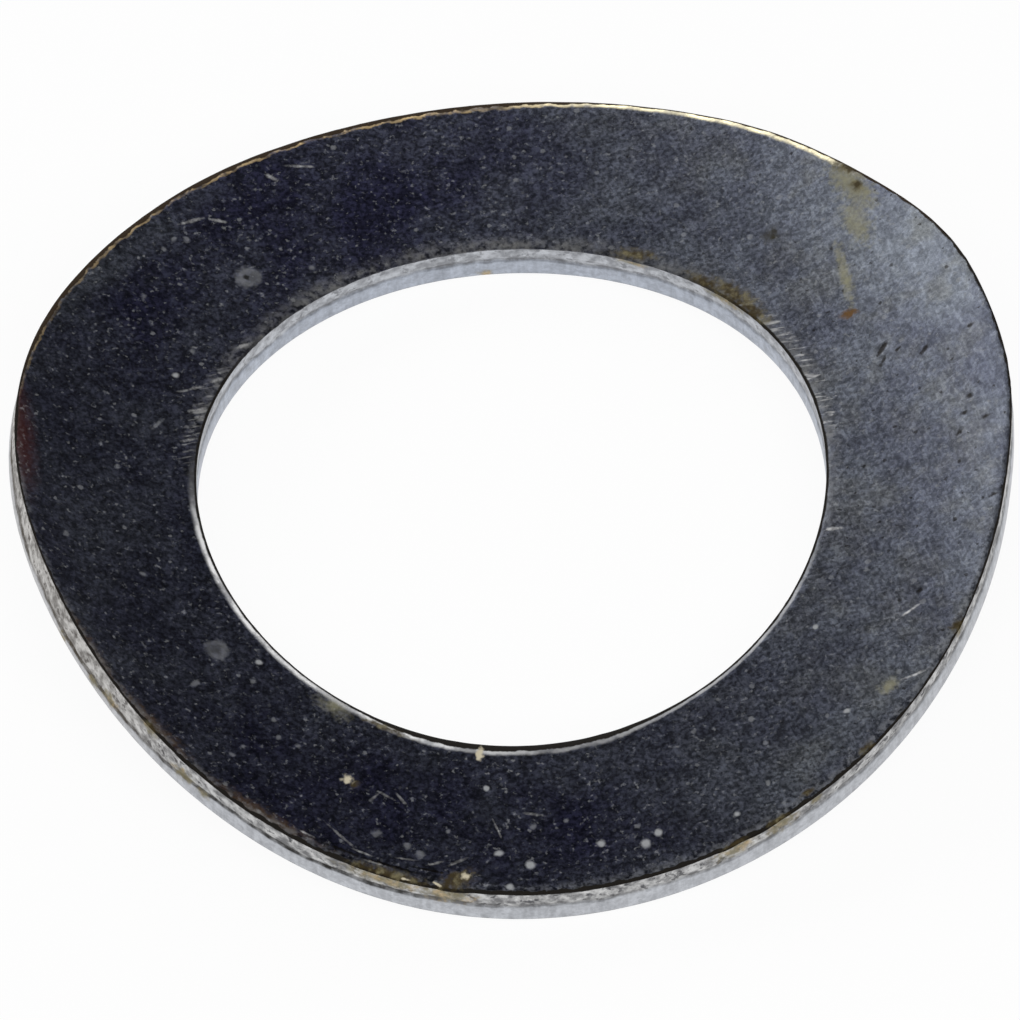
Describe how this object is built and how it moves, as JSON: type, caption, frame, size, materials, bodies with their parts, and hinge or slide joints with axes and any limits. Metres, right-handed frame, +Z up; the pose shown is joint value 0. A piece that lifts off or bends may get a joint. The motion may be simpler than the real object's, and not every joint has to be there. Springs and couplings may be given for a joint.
{
  "type": "bowed spring washer",
  "caption": "Round spring washer of dark hard strip, bowed about one line so that two ends stand up, to keep a light springy load under a nut or on a shaft.",
  "frame": {"origin": "on the bore's axis, level with the lowest line of the belly", "axes": "+Z up along the bore's axis, out of the hollow side; the two raised ends lie along X and the bend's axis runs along Y"},
  "size_m": [0.036, 0.036, 0.0057],
  "materials": {
    "spring_steel": "blue-black tempered strip with a light oil film, fine scratches and small rust specks; bare sheared walls"
  },
  "bodies": {
    "root": {"spring_washer": "spring_steel"}
  },
  "joints": []
}
